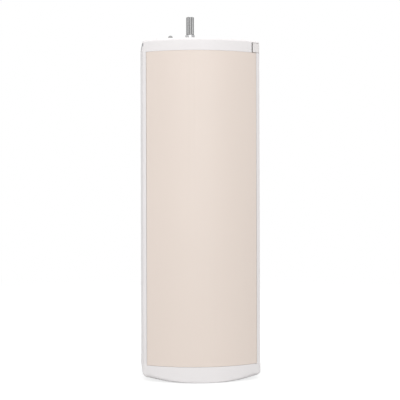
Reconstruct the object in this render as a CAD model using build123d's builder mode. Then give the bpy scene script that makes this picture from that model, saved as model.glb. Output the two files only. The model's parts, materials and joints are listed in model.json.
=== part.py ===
from build123d import *
import os
from math import acos, cos, pi, radians, sin, sqrt, tan

# Curtain-track drive motor. The casing hangs under the track and turns the belt pulley with
# the splined shaft on top. Millimetres, Z up, front towards -Y, origin under the base's centre.

# Casing
casing_width = 72.0
casing_depth = 58.0
casing_height = 208.0
front_radius = 61.0  # bow of the front, seen from above
front_corner_radius = 1.4
rear_corner_radius = 6.0
casing_wall = 2.2
top_wall = 1.8
top_edge_radius = 2.0
top_band = 7.8  # white band above the front cover

# Base cap
base_height = 9.6
base_proud = 0.2
base_floor = 2.4
base_flat_half = 8.0  # half-width of the level part of the base, seen from the front
base_bow_radius = 150.0
base_corner_radius = 2.5
base_edge_radius = 1.2

# Front cover
cover_thickness = 2.0
cover_side_gap = 0.15
cover_top_gap = 0.05
cover_bottom_gap = 0.2
cover_skirt_depth = 7.0
cover_tongue = 2.2
cover_edge_radius = 0.5
cover_tongue_thickness = 1.4
cover_tongue_clearance = 0.3
catch_heights = (42.0, 105.0, 168.0)
catch_length = 10.0
catch_width = 0.9
catch_depth = 2.0
catch_y = -6.6
hook_clearance = 0.3
hook_length = 1.4

# Drive axis and the socket that takes the track's pulley box
drive_x = -5.4
drive_y = 0.0
socket_radius = 10.0
socket_rim_width = 2.6
socket_rim_height = 2.0
nose_radius = 6.5
peg_radius = 1.4
peg_height = 3.2
peg_shank_radius = 1.7
peg_x = -18.5
peg_y = 12.0
peg_depth = 4.5
peg_clearance = 0.1

# Lock slide
lock_thickness = 1.4
lock_level = 204.0
lock_half_width = 14.0
lock_travel = 6.0
lock_clearance = 0.2
neck_radius = 7.4
keyhole_radius = 9.3
tab_width = 4.5
tab_gap = 0.7
tab_rear_y = 5.7
tab_inset = 0.25
tab_edge_radius = 0.6
tab_roof = 1.6  # wall left over the tab
tab_top_gap = 0.1
tab_grip = 1.8
tongue_reach = 0.5  # from the casing's side to the tongue's end
lock_rail_width = 1.2
slot_front_y = -17.8
slot_rear_y = 12.0

# Gears: two planetary stages that share one ring
module = 0.85
pressure_angle = 25.0
addendum = 0.8 * module
dedendum = 1.05 * module
backlash = 0.1
sun_teeth = 12
planet_teeth = 15
ring_teeth = sun_teeth + 2 * planet_teeth
first_planet_angle = 90.0
ring_outer_radius = 21.5
hub_height = 1.5
carrier_radius = 16.4
pin_radius = 1.5
running_clearance = 0.05
end_play = 0.3

# Shaft
journal_radius = 2.5
collar_radius = 3.0
collar_height = 5.8  # above the casing's top face
spline_height = 11.0
spline_tip_radius = 2.9
spline_lobe_radius = 1.0
spline_core_radius = 1.7
spline_lobes = 4
spline_chamfer = 0.4
collar_chamfer = 0.4
bush_radius = 4.5

# Gearbox plates
flange_radius = 24.0
flange_thickness = 5.0
flange_screw_circle = 20.0
flange_screw_angles = (70.0, 110.0, 250.0, 290.0)
pillar_radius = 3.2
lug_circle = 23.4
lug_radius = 3.3
lug_angles = (30.0, 150.0, 210.0, 330.0)
hub_radius = 8.0
socket_floor = 1.6  # flange metal left under the socket
adapter_thickness = 4.0
first_planet_width = 7.2
second_planet_width = 8.4
carrier_thickness = 3.0
ring_length = 26.8

# Screws
m3_radius = 1.5
m3_core_radius = 1.25
m3_head_radius = 2.8
m3_head_height = 1.7
flange_screw_length = 7.5
adapter_screw_circle = 12.5
m3_key_radius = 1.2
m3_key_depth = 1.0
lug_screw_grip = 4.0
base_screw_length = 8.0
m2_radius = 1.1
m2_core_radius = 0.9
board_screw_length = 6.0
m2_head_radius = 2.2
m2_head_height = 1.5

# Electric motor
can_radius = 18.5
can_wall = 1.5
can_length = 64.0
can_end = 2.0
can_boss_radius = 6.0
can_boss_height = 2.5
motor_shaft_radius = 2.0
motor_shaft_tail = 16.0  # below the can
motor_bush_radius = 4.0
motor_bush_length = 5.0
magnet_inner_radius = 13.2
magnet_length = 38.0
magnet_gap = 12.0
core_radius = 12.4
core_length = 30.0
core_bottom = 18.0  # above the can's open end
core_hub_radius = 5.5
core_web = 3.6
core_shoe = 2.1
core_slit = 2.0
pole_count = 5
winding_clearance = 0.25
winding_overhang = 3.0
winding_build = 1.5
commutator_radius = 4.6
commutator_length = 9.0
commutator_gap = 4.5
commutator_slit = 0.5
brush_width = 4.0
brush_length = 4.0
brush_height = 4.0
arm_thickness = 0.5
arm_width = 3.6
arm_tail = 7.0
bell_thickness = 3.0
bell_post_radius = 1.6
bell_post_y = 11.0
bell_register = 2.0
bell_hub_radius = 6.0
bell_hub_height = 3.2
guide_wall = 0.8
guide_length = 3.0
encoder_radius = 14.0
encoder_gap = 4.2
encoder_thickness = 1.4
encoder_magnet_radius = 7.0
encoder_magnet_length = 4.0
hall_size = 3.0
hall_height = 0.8
hall_orbit = 5.0

# Rubber sleeve round the motor and the saddle in the casing
sleeve_radius = 21.8
sleeve_length = 10.0
sleeve_bottom = 5.0  # above the can's open end
saddle_thickness = 4.0
saddle_front_y = 6.0
rib_width = 1.8
saddle_clearance = 0.3

# Power board
board_thickness = 1.6
board_side_gap = 0.6  # to the casing's side walls
board_room = 7.8  # from the board's front face to the casing's back wall
board_height = 68.0
rail_width = 1.2
rail_depth = 2.6
board_clearance = 0.15

# Transformer
core_leg = 3.5
core_centre_leg = 6.5
core_size_x = 24.0
core_size_z = 20.0
core_size_y = 8.0
coil_clearance = 0.25
coil_build = 4.8
transformer_x = -14.0
transformer_z = 66.0

# Other parts on the power board
capacitor_radius = 8.0
capacitor_length = 24.0
capacitor_edge = 1.0
capacitor_x = 16.0
capacitor_z = 66.0
filter_size = (17.0, 13.0, 9.0)
filter_x = 19.0
filter_z = 36.0
choke_radius = 6.0
choke_core_radius = 4.4
choke_flange = 1.2
choke_length = 11.0
choke_x = 0.0
choke_z = 40.0
fuse_radius = 2.6
fuse_cap_radius = 3.0
fuse_length = 18.0
fuse_x = -18.0
fuse_z = 28.0
fuse_cap_length = 4.0
sink_width = 20.0
sink_height = 12.0
sink_depth = 15.0
sink_base = 2.0
sink_fins = 5
sink_fin = 1.2
sink_edge_distance = 13.2  # from the board's edge to the middle of the heat sink
sink_z = 42.0

# Control board and what it carries
control_level = 14.0
control_width = 58.0
control_front_y = -18.0
control_rear_y = 15.5
control_post_radius = 2.6
control_post_x = 23.0
control_post_y = -13.0
inlet_x = -13.0
inlet_y = 4.0
inlet_size = (21.0, 15.0)
inlet_mouth = (16.0, 9.0)
inlet_mouth_depth = 9.5
inlet_pin_radius = 1.15
inlet_pin_spacing = 8.6
inlet_pin_length = 8.0
jack_x = 13.0
jack_y = 5.0
jack_size = (13.2, 13.0)
jack_mouth = (9.8, 7.0)
jack_mouth_depth = 11.0
jack_latch = (3.4, 2.0)
jack_contacts_count = 6
jack_contact_pitch = 1.27
jack_contact_width = 0.5
jack_contact_recess = 3.0
socket_recess = 0.4  # the sockets' mouths lie this far inside the base
connector_clearance = 0.25
button_x = 12.0
button_y = -10.0
button_radius = 2.4
button_guide_clearance = 0.25
button_collar_radius = 3.6
button_collar_height = 1.4
button_edge = 0.4
button_clearance = 0.3
button_travel = 0.6
button_recess = 0.4
button_pin_radius = 1.4
button_pin_length = 2.2
switch_size = 6.0
switch_height = 3.2
lens_x = 0.0
lens_y = -10.0
lens_radius = 1.5
lens_head_radius = 2.3
lens_head_height = 1.0
lens_recess = 0.3
led_size = 3.0
led_height = 1.2
chip_sizes = ((7.0, 7.0, 1.2), (10.0, 6.0, 1.6), (5.0, 4.0, 1.2))
chip_places = ((-4.0, -8.0), (20.0, 2.0), (-16.0, 10.0))

# Base screws
base_screw_inset = 8.5  # from the casing's sides and back
base_post_radius = 3.6
base_post_top = 20.0
base_rim_height = 3.4
base_rim_width = 1.5
base_rim_clearance = 0.25
counterbore_radius = 3.1
counterbore_top = 4.2

# Wires
lead_radius = 0.8
lead_bend = 5.0
lead_level = 84.0
lead_spread = 4.0
cable_width = 10.0
cable_thickness = 0.8
cable_bend = 2.5
cable_x = 4.0
cable_y = 12.0
cable_level = 25.0

# Heights worked out from the sizes above
arc_centre_y = front_radius - casing_depth / 2
band_bottom = casing_height - top_band
ceiling = casing_height - top_wall
opening_half = casing_width / 2 - casing_wall
flange_top = lock_level - lock_clearance
flange_bottom = flange_top - flange_thickness
ring_bottom = flange_bottom - ring_length
can_top = ring_bottom - adapter_thickness
can_bottom = can_top - can_length
hub_bottom = flange_bottom - hub_height
nose_top = flange_top - end_play
output_carrier_top = hub_bottom - lock_clearance
output_carrier_bottom = output_carrier_top - carrier_thickness
second_planet_top = output_carrier_bottom - end_play
second_planet_bottom = second_planet_top - second_planet_width
first_carrier_top = second_planet_bottom - end_play
first_carrier_bottom = first_carrier_top - carrier_thickness
first_planet_top = first_carrier_bottom - end_play
first_planet_bottom = first_planet_top - first_planet_width
pinion_bottom = ring_bottom + end_play
collar_top = casing_height + collar_height
sun_radius = module * sun_teeth / 2
planet_radius = module * planet_teeth / 2
ring_radius = module * ring_teeth / 2
planet_orbit = sun_radius + planet_radius
bell_bottom = can_bottom - bell_thickness
encoder_top = bell_bottom - encoder_gap
encoder_bottom = encoder_top - encoder_thickness
encoder_magnet_top = encoder_bottom - hall_height - end_play
motor_shaft_bottom = can_bottom - motor_shaft_tail
core_level = can_bottom + core_bottom
commutator_bottom = can_bottom + commutator_gap
brush_level = commutator_bottom + (commutator_length - brush_height) / 2
arm_x = commutator_radius + running_clearance + brush_length
control_top = control_level + board_thickness
bow_mid_x = (base_flat_half + casing_width / 2 + base_proud) / 2
bow_mid_z = base_bow_radius - sqrt(base_bow_radius**2 - (bow_mid_x - base_flat_half) ** 2)
bow_side_z = base_bow_radius - sqrt(base_bow_radius**2 - 4 * (bow_mid_x - base_flat_half) ** 2)
cover_half = opening_half - cover_side_gap
cover_bottom = base_height + cover_bottom_gap
cover_top = band_bottom - cover_top_gap
cover_corner_y = arc_centre_y - sqrt(front_radius**2 - cover_half**2)
skirt_rear_y = cover_corner_y + cover_skirt_depth
board_bottom = base_post_top
board_half_width = opening_half - board_side_gap
board_y = casing_depth / 2 - casing_wall - board_room
sink_x = sink_edge_distance - board_half_width
base_screw_x = casing_width / 2 - base_screw_inset
base_screw_y = casing_depth / 2 - base_screw_inset
tab_x = casing_width / 2 - tab_width
tab_top = casing_height - tab_roof - tab_top_gap
plate_right = opening_half - lock_travel - 2 * lock_clearance
switch_bottom = control_level - switch_height
tongue_inner = opening_half - 2 * casing_wall
rail_left = peg_x + 2 * peg_radius
peg_slot_radius = peg_shank_radius + lock_clearance
saddle_bottom = can_bottom + sleeve_bottom + (sleeve_length - saddle_thickness) / 2


def drive_plane(level):
    """A level plane with its origin on the drive axis."""
    return Plane((drive_x, drive_y, level), x_dir=(1, 0, 0), z_dir=(0, 0, 1))


def casing_section(inset=0.0):
    """The casing's plan outline with its bowed front, drawn in by inset."""
    half = casing_width / 2 - inset
    radius = front_radius - inset
    corner_y = arc_centre_y - sqrt(radius**2 - half**2)
    rear_y = casing_depth / 2 - inset
    with BuildSketch() as section:
        with BuildLine():
            ThreePointArc((-half, corner_y), (0, arc_centre_y - radius), (half, corner_y))
            Polyline((half, corner_y), (half, rear_y), (-half, rear_y), (-half, corner_y))
        make_face()
        fillet(section.vertices().sort_by(Axis.Y)[:2], max(front_corner_radius - inset, 0.3))
        fillet(section.vertices().sort_by(Axis.Y)[-2:], rear_corner_radius - inset)
    return section.sketch


def tooth_half_angle(teeth, radius, thinning):
    """Half the angle that an involute tooth fills at a radius, in radians."""
    pitch = module * teeth / 2
    base = pitch * cos(radians(pressure_angle))

    def involute(at):
        roll = acos(min(1.0, base / at))
        return tan(roll) - roll

    at_pitch = pi / (2 * teeth) - thinning / (2 * pitch)
    return at_pitch + involute(pitch) - involute(max(radius, base))


def gear_outline(teeth, root, tip, thinning, phase=0.0):
    """A spur gear's outline: each flank runs through three points of its involute."""
    base = module * teeth / 2 * cos(radians(pressure_angle))
    foot = max(root, base)
    middle = (foot + tip) / 2
    at_foot, at_middle, at_tip = [tooth_half_angle(teeth, r, thinning) for r in (foot, middle, tip)]
    flank = [(root, at_foot), (middle, at_middle), (tip, at_tip)]
    points = []
    for tooth in range(teeth):
        centre = radians(phase) + 2 * pi * tooth / teeth
        points += [(r * cos(centre - half), r * sin(centre - half)) for r, half in flank]
        points += [(r * cos(centre + half), r * sin(centre + half)) for r, half in reversed(flank)]
    with BuildSketch() as outline:
        with BuildLine():
            Polyline(*points, close=True)
        make_face()
    return outline.sketch


def planet_angle(index):
    """Where planet number index stands about the drive axis, in degrees."""
    return first_planet_angle + 120.0 * index


def planet_phase(index):
    """The turn that puts a planet's teeth in mesh with a sun that has a tooth on +X, in degrees."""
    at_sun = radians(planet_angle(index)) * sun_teeth / (2 * pi)
    return planet_angle(index) + 180.0 - 360.0 / planet_teeth * (0.5 - at_sun)


def ring_phase():
    """The turn that puts the ring's teeth in mesh with the planets, in degrees."""
    at_ring = radians(first_planet_angle) * (ring_teeth + sun_teeth) / (2 * pi) + planet_teeth / 2
    return 360.0 / ring_teeth * ((at_ring - 0.5) % 1.0)


def finish(part, label):
    """Labels a finished piece and writes its STEP file."""
    part.label = label
    export_step(part, f"parts/{label}.step")


os.makedirs("parts", exist_ok=True)

flange_screw_points = [
    (drive_x + flange_screw_circle * cos(radians(a)), drive_y + flange_screw_circle * sin(radians(a)))
    for a in flange_screw_angles
]
peg_points = [(peg_x, -peg_y), (peg_x, peg_y)]
lug_offsets = [(lug_circle * cos(radians(a)), lug_circle * sin(radians(a))) for a in lug_angles]
adapter_screw_offsets = [(-adapter_screw_circle, 0), (adapter_screw_circle, 0)]
planet_offsets = [
    (planet_orbit * cos(radians(planet_angle(index))), planet_orbit * sin(radians(planet_angle(index))))
    for index in range(3)
]
base_screw_points = [(-base_screw_x, base_screw_y), (base_screw_x, base_screw_y)]
control_post_points = [(-control_post_x, control_post_y), (control_post_x, control_post_y)]

# Main housing: back, sides and top in one moulding, open at the front and underneath
with BuildPart() as main_housing:
    with BuildSketch(Plane.XY.offset(base_height)):
        add(casing_section())
    extrude(amount=casing_height - base_height)
    fillet(main_housing.faces().sort_by(Axis.Z)[-1].outer_wire().edges(), top_edge_radius)
    with BuildSketch(Plane.XY.offset(base_height)):
        add(casing_section(casing_wall))
    extrude(amount=ceiling - base_height, mode=Mode.SUBTRACT)
    # opening for the front cover
    with BuildSketch(Plane.XY.offset(base_height)):
        with Locations((0, -casing_depth / 2)):
            Rectangle(2 * opening_half, casing_depth / 2)
    extrude(amount=band_bottom - base_height, mode=Mode.SUBTRACT)
    # rim round the socket, and the socket's hole
    with BuildSketch(drive_plane(casing_height)):
        Circle(socket_radius + socket_rim_width)
    extrude(amount=socket_rim_height)
    chamfer(main_housing.faces().sort_by(Axis.Z)[-1].outer_wire().edges(), socket_rim_height / 4)
    with BuildSketch(drive_plane(ceiling)):
        Circle(socket_radius)
    extrude(amount=top_wall + socket_rim_height, mode=Mode.SUBTRACT)
    with BuildSketch(Plane.XY.offset(ceiling)):
        with Locations(*peg_points):
            Circle(peg_shank_radius + peg_clearance)
    extrude(amount=top_wall, mode=Mode.SUBTRACT)
    with Locations(*[(x, y, casing_height) for x, y in flange_screw_points]):
        CounterSinkHole(m3_radius, m3_head_radius, depth=top_wall)
    # window for the lock's tab at the right front corner, and slot for its tongue at the left
    with BuildSketch(Plane.XY.offset(band_bottom)):
        with Locations((tab_x - tab_gap + casing_width / 4, tab_rear_y + tab_inset - casing_depth / 2)):
            Rectangle(casing_width / 2, casing_depth)
    extrude(amount=casing_height - tab_roof - band_bottom, mode=Mode.SUBTRACT)
    with BuildSketch(Plane.XY.offset(lock_level - lock_clearance)):
        with Locations((-casing_width / 2, (slot_front_y + slot_rear_y) / 2)):
            Rectangle(2 * (casing_width / 2 - tongue_inner), slot_rear_y - slot_front_y)
    extrude(amount=lock_thickness + 2 * lock_clearance, mode=Mode.SUBTRACT)
    # rails that keep the lock slide from lifting
    with BuildSketch(Plane.XY.offset(lock_level + lock_thickness + lock_clearance)):
        for rail_y in (lock_half_width - lock_rail_width, lock_rail_width - lock_half_width):
            with Locations(((plate_right + rail_left) / 2, rail_y)):
                Rectangle(plate_right - rail_left, lock_rail_width)
    extrude(amount=ceiling - lock_level - lock_thickness - lock_clearance)
    # rails for the power board
    with BuildSketch(Plane.XY.offset(board_bottom)):
        for side in (-1, 1):
            for rail_y in (
                board_y - board_clearance - rail_width / 2,
                board_y + board_thickness + board_clearance + rail_width / 2,
            ):
                with Locations((side * (opening_half - rail_depth / 2), rail_y)):
                    Rectangle(rail_depth, rail_width)
    extrude(amount=board_height)
    # saddle behind the motor
    with BuildSketch(Plane.XY.offset(saddle_bottom)):
        add(casing_section(casing_wall))
        with Locations((drive_x, (saddle_front_y + casing_depth / 2) / 2)):
            Rectangle(2 * sleeve_radius + casing_wall, casing_depth / 2 - saddle_front_y, mode=Mode.INTERSECT)
        with Locations((drive_x, drive_y)):
            Circle(sleeve_radius + saddle_clearance, mode=Mode.SUBTRACT)
    extrude(amount=saddle_thickness)
    # posts for the base screws, tied to the side walls
    with BuildSketch(Plane.XY.offset(base_height)):
        with Locations(*base_screw_points):
            Circle(base_post_radius)
    extrude(amount=base_post_top - base_height)
    with BuildSketch(Plane.XY.offset(base_height + base_rim_height + end_play)):
        for side in (-1, 1):
            with Locations((side * (base_screw_x + opening_half) / 2, base_screw_y)):
                Rectangle(opening_half - base_screw_x, rib_width)
    extrude(amount=base_post_top - base_height - base_rim_height - end_play)
    with BuildSketch(Plane.XY.offset(base_height)):
        with Locations(*base_screw_points):
            Circle(m3_core_radius)
    extrude(amount=base_screw_length, mode=Mode.SUBTRACT)
    # blocks that the cover's hooks catch behind
    for level in catch_heights:
        with BuildSketch(Plane.XY.offset(level)):
            for side in (-1, 1):
                with Locations((side * (opening_half - catch_width / 2), catch_y)):
                    Rectangle(catch_width, catch_depth)
        extrude(amount=catch_length)
finish(main_housing.part, "main_housing")

# Front cover: bowed panel with a skirt down each side, hooks on the skirts and a tongue at each end
with BuildPart() as front_cover:
    with BuildSketch(Plane.XY.offset(cover_bottom)):
        add(casing_section())
        add(casing_section(cover_thickness), mode=Mode.SUBTRACT)
        with Locations((0, -casing_depth / 2)):
            Rectangle(2 * cover_half, casing_depth / 2, mode=Mode.INTERSECT)
    extrude(amount=cover_top - cover_bottom)
    fillet(front_cover.faces().sort_by(Axis.Z)[-1].edges().sort_by(Axis.Y)[0], cover_edge_radius)
    fillet(front_cover.faces().sort_by(Axis.Z)[0].edges().sort_by(Axis.Y)[0], cover_edge_radius)
    with BuildSketch(Plane.XY.offset(cover_bottom)):
        for side in (-1, 1):
            skirt_front_y = cover_corner_y + cover_edge_radius
            with Locations((side * (cover_half - cover_thickness / 2), (skirt_front_y + skirt_rear_y) / 2)):
                Rectangle(cover_thickness, skirt_rear_y - skirt_front_y)
    extrude(amount=cover_top - cover_bottom)
    # tongues behind the band above and the base below, stepped in from the panel
    tongue_inset = casing_wall + cover_tongue_clearance
    tongue_half = cover_half - 2 * cover_thickness
    for level, inset, height in (
        (cover_top - cover_tongue, tongue_inset, 2 * cover_tongue),
        (cover_top - cover_tongue, cover_thickness / 2, cover_tongue / 2),
        (cover_bottom - cover_tongue, tongue_inset, 2 * cover_tongue),
        (cover_bottom + cover_tongue / 2, cover_thickness / 2, cover_tongue / 2),
    ):
        with BuildSketch(Plane.XY.offset(level)):
            add(casing_section(inset))
            add(casing_section(tongue_inset + cover_tongue_thickness), mode=Mode.SUBTRACT)
            with Locations((0, -casing_depth / 2)):
                Rectangle(2 * tongue_half, 2 * (casing_depth / 2 + cover_corner_y), mode=Mode.INTERSECT)
        extrude(amount=height)
    # hooks: a leg inside each catch block, with a barb behind it
    hook_front_y = catch_y + catch_depth / 2 + hook_clearance
    leg_width = cover_thickness - catch_width + cover_side_gap
    for level in catch_heights:
        with BuildSketch(Plane.XY.offset(level)):
            for side in (-1, 1):
                leg_x = opening_half - catch_width - cover_side_gap - leg_width / 2
                with Locations((side * leg_x, (skirt_front_y + hook_front_y + hook_length) / 2)):
                    Rectangle(leg_width, hook_front_y + hook_length - skirt_front_y)
                with Locations((side * (leg_x + catch_width / 2), hook_front_y + hook_length / 2)):
                    Rectangle(leg_width + catch_width, hook_length)
        extrude(amount=catch_length)
finish(front_cover.part, "front_cover")

# Base cap, with its sockets' openings, screw posts and a rim that centres it in the housing
with BuildPart() as bottom_cap:
    with BuildSketch():
        add(casing_section(-base_proud))
    extrude(amount=base_height)
    fillet(bottom_cap.faces().sort_by(Axis.Z)[0].edges(), base_edge_radius)
    # underside level in the middle and bowed up to each side, seen from the front
    half = casing_width / 2 + base_proud
    with BuildSketch(Plane.XZ.offset(-casing_depth)) as front_view:
        with BuildLine():
            Line((base_flat_half, 0), (-base_flat_half, 0))
            ThreePointArc((-base_flat_half, 0), (-bow_mid_x, bow_mid_z), (-half, bow_side_z))
            Polyline((-half, bow_side_z), (-half, base_height), (half, base_height), (half, bow_side_z))
            ThreePointArc((half, bow_side_z), (bow_mid_x, bow_mid_z), (base_flat_half, 0))
        make_face()
        corners = front_view.vertices().filter_by_position(Axis.Y, bow_side_z / 2, base_height / 2)
        fillet(corners, base_corner_radius)
    extrude(amount=2 * casing_depth, mode=Mode.INTERSECT)
    for level, inset in ((base_floor, 2 * casing_wall), (base_floor + casing_wall, casing_wall)):
        with BuildSketch(Plane.XY.offset(level)):
            add(casing_section(inset))
        extrude(amount=base_height - level, mode=Mode.SUBTRACT)
    # rim inside the housing, left out where the cover is
    for level, inset, height in (
        (base_height - base_rim_width, casing_wall / 2, base_rim_width),
        (base_height - base_rim_width, casing_wall + base_rim_clearance, base_rim_width + base_rim_height),
    ):
        with BuildSketch(Plane.XY.offset(level)):
            add(casing_section(inset))
            add(casing_section(casing_wall + base_rim_clearance + base_rim_width), mode=Mode.SUBTRACT)
            with Locations((0, skirt_rear_y + hook_clearance - casing_depth / 2)):
                Rectangle(casing_width, casing_depth, mode=Mode.SUBTRACT)
            with Locations(*base_screw_points):
                Circle(base_post_radius + base_rim_clearance, mode=Mode.SUBTRACT)
        extrude(amount=height)
    # screw bosses at the back, board posts in front
    with BuildSketch(Plane.XY.offset(base_floor - end_play)):
        with Locations(*base_screw_points):
            Circle(base_post_radius + base_rim_clearance)
    extrude(amount=base_height - base_floor + end_play)
    with BuildSketch(Plane.XY.offset(base_floor / 2)):
        with Locations(*control_post_points):
            Circle(control_post_radius)
    extrude(amount=control_level - base_floor / 2)
    with BuildSketch():
        with Locations(*base_screw_points):
            Circle(counterbore_radius)
    extrude(amount=counterbore_top, mode=Mode.SUBTRACT)
    with BuildSketch():
        with Locations(*base_screw_points):
            Circle(m3_radius)
    extrude(amount=base_height, mode=Mode.SUBTRACT)
    with BuildSketch(Plane.XY.offset(control_level)):
        with Locations(*control_post_points):
            Circle(m2_core_radius)
    extrude(amount=-board_screw_length, mode=Mode.SUBTRACT)
    # guide for the button, then every opening through the floor
    with BuildSketch(Plane.XY.offset(base_floor / 2)):
        with Locations((button_x, button_y)):
            Circle(button_collar_radius)
    extrude(amount=base_floor)
    with BuildSketch():
        with Locations((button_x, button_y)):
            Circle(button_radius + button_guide_clearance)
        with Locations((lens_x, lens_y)):
            Circle(lens_radius)
        with Locations((inlet_x, inlet_y)):
            Rectangle(inlet_size[0] + 2 * connector_clearance, inlet_size[1] + 2 * connector_clearance)
        with Locations((jack_x, jack_y)):
            Rectangle(jack_size[0] + 2 * connector_clearance, jack_size[1] + 2 * connector_clearance)
    extrude(amount=base_floor + base_floor, mode=Mode.SUBTRACT)
finish(bottom_cap.part, "bottom_cap")

# Base screws, up through the cap into the housing's posts
with BuildPart() as base_screws:
    with BuildSketch(Plane.XY.offset(counterbore_top - m3_head_height)):
        with Locations(*base_screw_points):
            Circle(m3_head_radius)
            RegularPolygon(m3_key_radius, 6, mode=Mode.SUBTRACT)
    extrude(amount=m3_head_height)
    with BuildSketch(Plane.XY.offset(counterbore_top - m3_head_height / 3)):
        with Locations(*base_screw_points):
            Circle(m3_core_radius)
    extrude(amount=base_height + base_screw_length - counterbore_top + m3_head_height / 3 - end_play)
finish(base_screws.part, "base_screws")

# Lock slide: a stamped plate with a keyhole that grips the neck of the track's pulley box
with BuildSketch() as tongue:
    add(casing_section(tongue_reach))
    with Locations((-casing_width / 2, (slot_front_y + slot_rear_y) / 2)):
        Rectangle(
            2 * (casing_width / 2 - tongue_inner) + 2,
            slot_rear_y - slot_front_y - 2 * lock_clearance,
            mode=Mode.INTERSECT,
        )
with BuildPart() as lock_plate:
    with BuildSketch(Plane.XY.offset(lock_level)):
        add(casing_section(casing_wall + lock_clearance))
        with Locations(((plate_right - casing_width / 2) / 2, 0)):
            Rectangle(plate_right + casing_width / 2, 2 * lock_half_width, mode=Mode.INTERSECT)
        add(tongue.sketch)
        with Locations(((tab_x + tab_grip + plate_right) / 2, (tab_rear_y - lock_half_width) / 2)):
            Rectangle(tab_x + tab_grip - plate_right, tab_rear_y + lock_half_width - 2 * tab_inset)
        with Locations((drive_x, drive_y)):
            Circle(neck_radius, mode=Mode.SUBTRACT)
        with Locations((drive_x - lock_travel, drive_y)):
            Circle(keyhole_radius, mode=Mode.SUBTRACT)
        with Locations((drive_x - lock_travel / 2, drive_y)):
            Rectangle(lock_travel, 2 * neck_radius, mode=Mode.SUBTRACT)
        with Locations(*[(x - lock_travel / 2, y) for x, y in peg_points]):
            SlotOverall(lock_travel + 2 * peg_slot_radius, 2 * peg_slot_radius, mode=Mode.SUBTRACT)
    extrude(amount=lock_thickness)
finish(lock_plate.part, "lock_plate")

# Finger tab moulded on the plate's right end; it completes the casing's corner
with BuildPart() as lock_tab:
    with BuildSketch(Plane.XY.offset(band_bottom + tab_inset)):
        add(casing_section())
        with Locations((tab_x + casing_width / 4, tab_rear_y - casing_depth / 2)):
            Rectangle(casing_width / 2, casing_depth, mode=Mode.INTERSECT)
    extrude(amount=tab_top - band_bottom - tab_inset)
    fillet(lock_tab.faces().sort_by(Axis.Z)[-1].edges().sort_by(Axis.X)[-1], tab_edge_radius)
    with BuildSketch(Plane.XY.offset(lock_level)):
        with Locations((tab_x, (tab_rear_y - lock_half_width) / 2)):
            Rectangle(2 * tab_grip, tab_rear_y + lock_half_width - 2 * tab_inset)
    extrude(amount=lock_thickness, mode=Mode.SUBTRACT)
finish(lock_tab.part, "lock_tab")

# Gearbox flange: a die casting that carries the drive and holds the pulley box's boss
with BuildPart() as gearbox_flange:
    with BuildSketch(drive_plane(flange_bottom)):
        Circle(flange_radius)
        with Locations(*lug_offsets):
            Circle(lug_radius)
    extrude(amount=flange_thickness)
    with BuildSketch(drive_plane(hub_bottom)):
        Circle(hub_radius)
    extrude(amount=hub_height)
    with BuildSketch(drive_plane(flange_bottom + socket_floor)):
        Circle(socket_radius)
        Circle(nose_radius, mode=Mode.SUBTRACT)
    extrude(amount=flange_thickness, mode=Mode.SUBTRACT)
    with BuildSketch(drive_plane(nose_top)):
        Circle(nose_radius)
    extrude(amount=end_play, mode=Mode.SUBTRACT)
    with BuildSketch(drive_plane(hub_bottom)):
        Circle(bush_radius)
    extrude(amount=flange_thickness + hub_height, mode=Mode.SUBTRACT)
    with BuildSketch(Plane.XY.offset(flange_top)):
        with Locations(*flange_screw_points):
            Circle(pillar_radius)
    extrude(amount=ceiling - flange_top)
    with BuildSketch(Plane.XY.offset(ceiling)):
        with Locations(*flange_screw_points):
            Circle(m3_core_radius)
    extrude(amount=-flange_screw_length, mode=Mode.SUBTRACT)
    with BuildSketch(Plane.XY.offset(flange_top)):
        with Locations(*peg_points):
            Circle(peg_shank_radius)
    extrude(amount=-peg_depth, mode=Mode.SUBTRACT)
    with BuildSketch(drive_plane(flange_bottom)):
        with Locations(*lug_offsets):
            Circle(m3_core_radius)
    extrude(amount=lug_screw_grip, mode=Mode.SUBTRACT)
finish(gearbox_flange.part, "gearbox_flange")

# Pegs that place the pulley box, with a thicker shank pressed in the flange
with BuildPart() as locating_pegs:
    with BuildSketch(Plane.XY.offset(flange_top - peg_depth)):
        with Locations(*peg_points):
            Circle(peg_shank_radius)
    extrude(amount=casing_height - flange_top + peg_depth)
    with BuildSketch(Plane.XY.offset(casing_height)):
        with Locations(*peg_points):
            Circle(peg_radius)
    extrude(amount=peg_height)
    chamfer(locating_pegs.faces().group_by(Axis.Z)[-1].edges(), peg_radius / 2)
finish(locating_pegs.part, "locating_pegs")

# Countersunk screws that hold the casing's top to the flange
with BuildPart() as flange_screws:
    with BuildSketch(Plane.XY.offset(casing_height)):
        with Locations(*flange_screw_points):
            Circle(m3_head_radius)
    extrude(amount=-(m3_head_radius - m3_core_radius), taper=45)
    with BuildSketch(Plane.XY.offset(casing_height)):
        with Locations(*flange_screw_points):
            Circle(m3_core_radius)
    extrude(amount=end_play - top_wall - flange_screw_length)
    with BuildSketch(Plane.XY.offset(casing_height)):
        with Locations(*flange_screw_points):
            RegularPolygon(m3_key_radius, 6)
    extrude(amount=-m3_key_depth, mode=Mode.SUBTRACT)
finish(flange_screws.part, "flange_screws")

# Bush for the output shaft
with BuildPart() as output_bush:
    with BuildSketch(drive_plane(hub_bottom)):
        Circle(bush_radius)
        Circle(journal_radius + running_clearance, mode=Mode.SUBTRACT)
    extrude(amount=nose_top - hub_bottom)
finish(output_bush.part, "output_bush")

# Ring gear, the gearbox's body: one set of teeth for both stages
with BuildPart() as ring_gear:
    with BuildSketch(drive_plane(ring_bottom)):
        Circle(ring_outer_radius)
        with Locations(*lug_offsets):
            Circle(lug_radius)
            Circle(m3_radius, mode=Mode.SUBTRACT)
        tooth_spaces = gear_outline(
            ring_teeth, ring_radius - addendum, ring_radius + dedendum, -backlash, ring_phase()
        )
        add(tooth_spaces, mode=Mode.SUBTRACT)
    extrude(amount=ring_length)
finish(ring_gear.part, "ring_gear")

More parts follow.
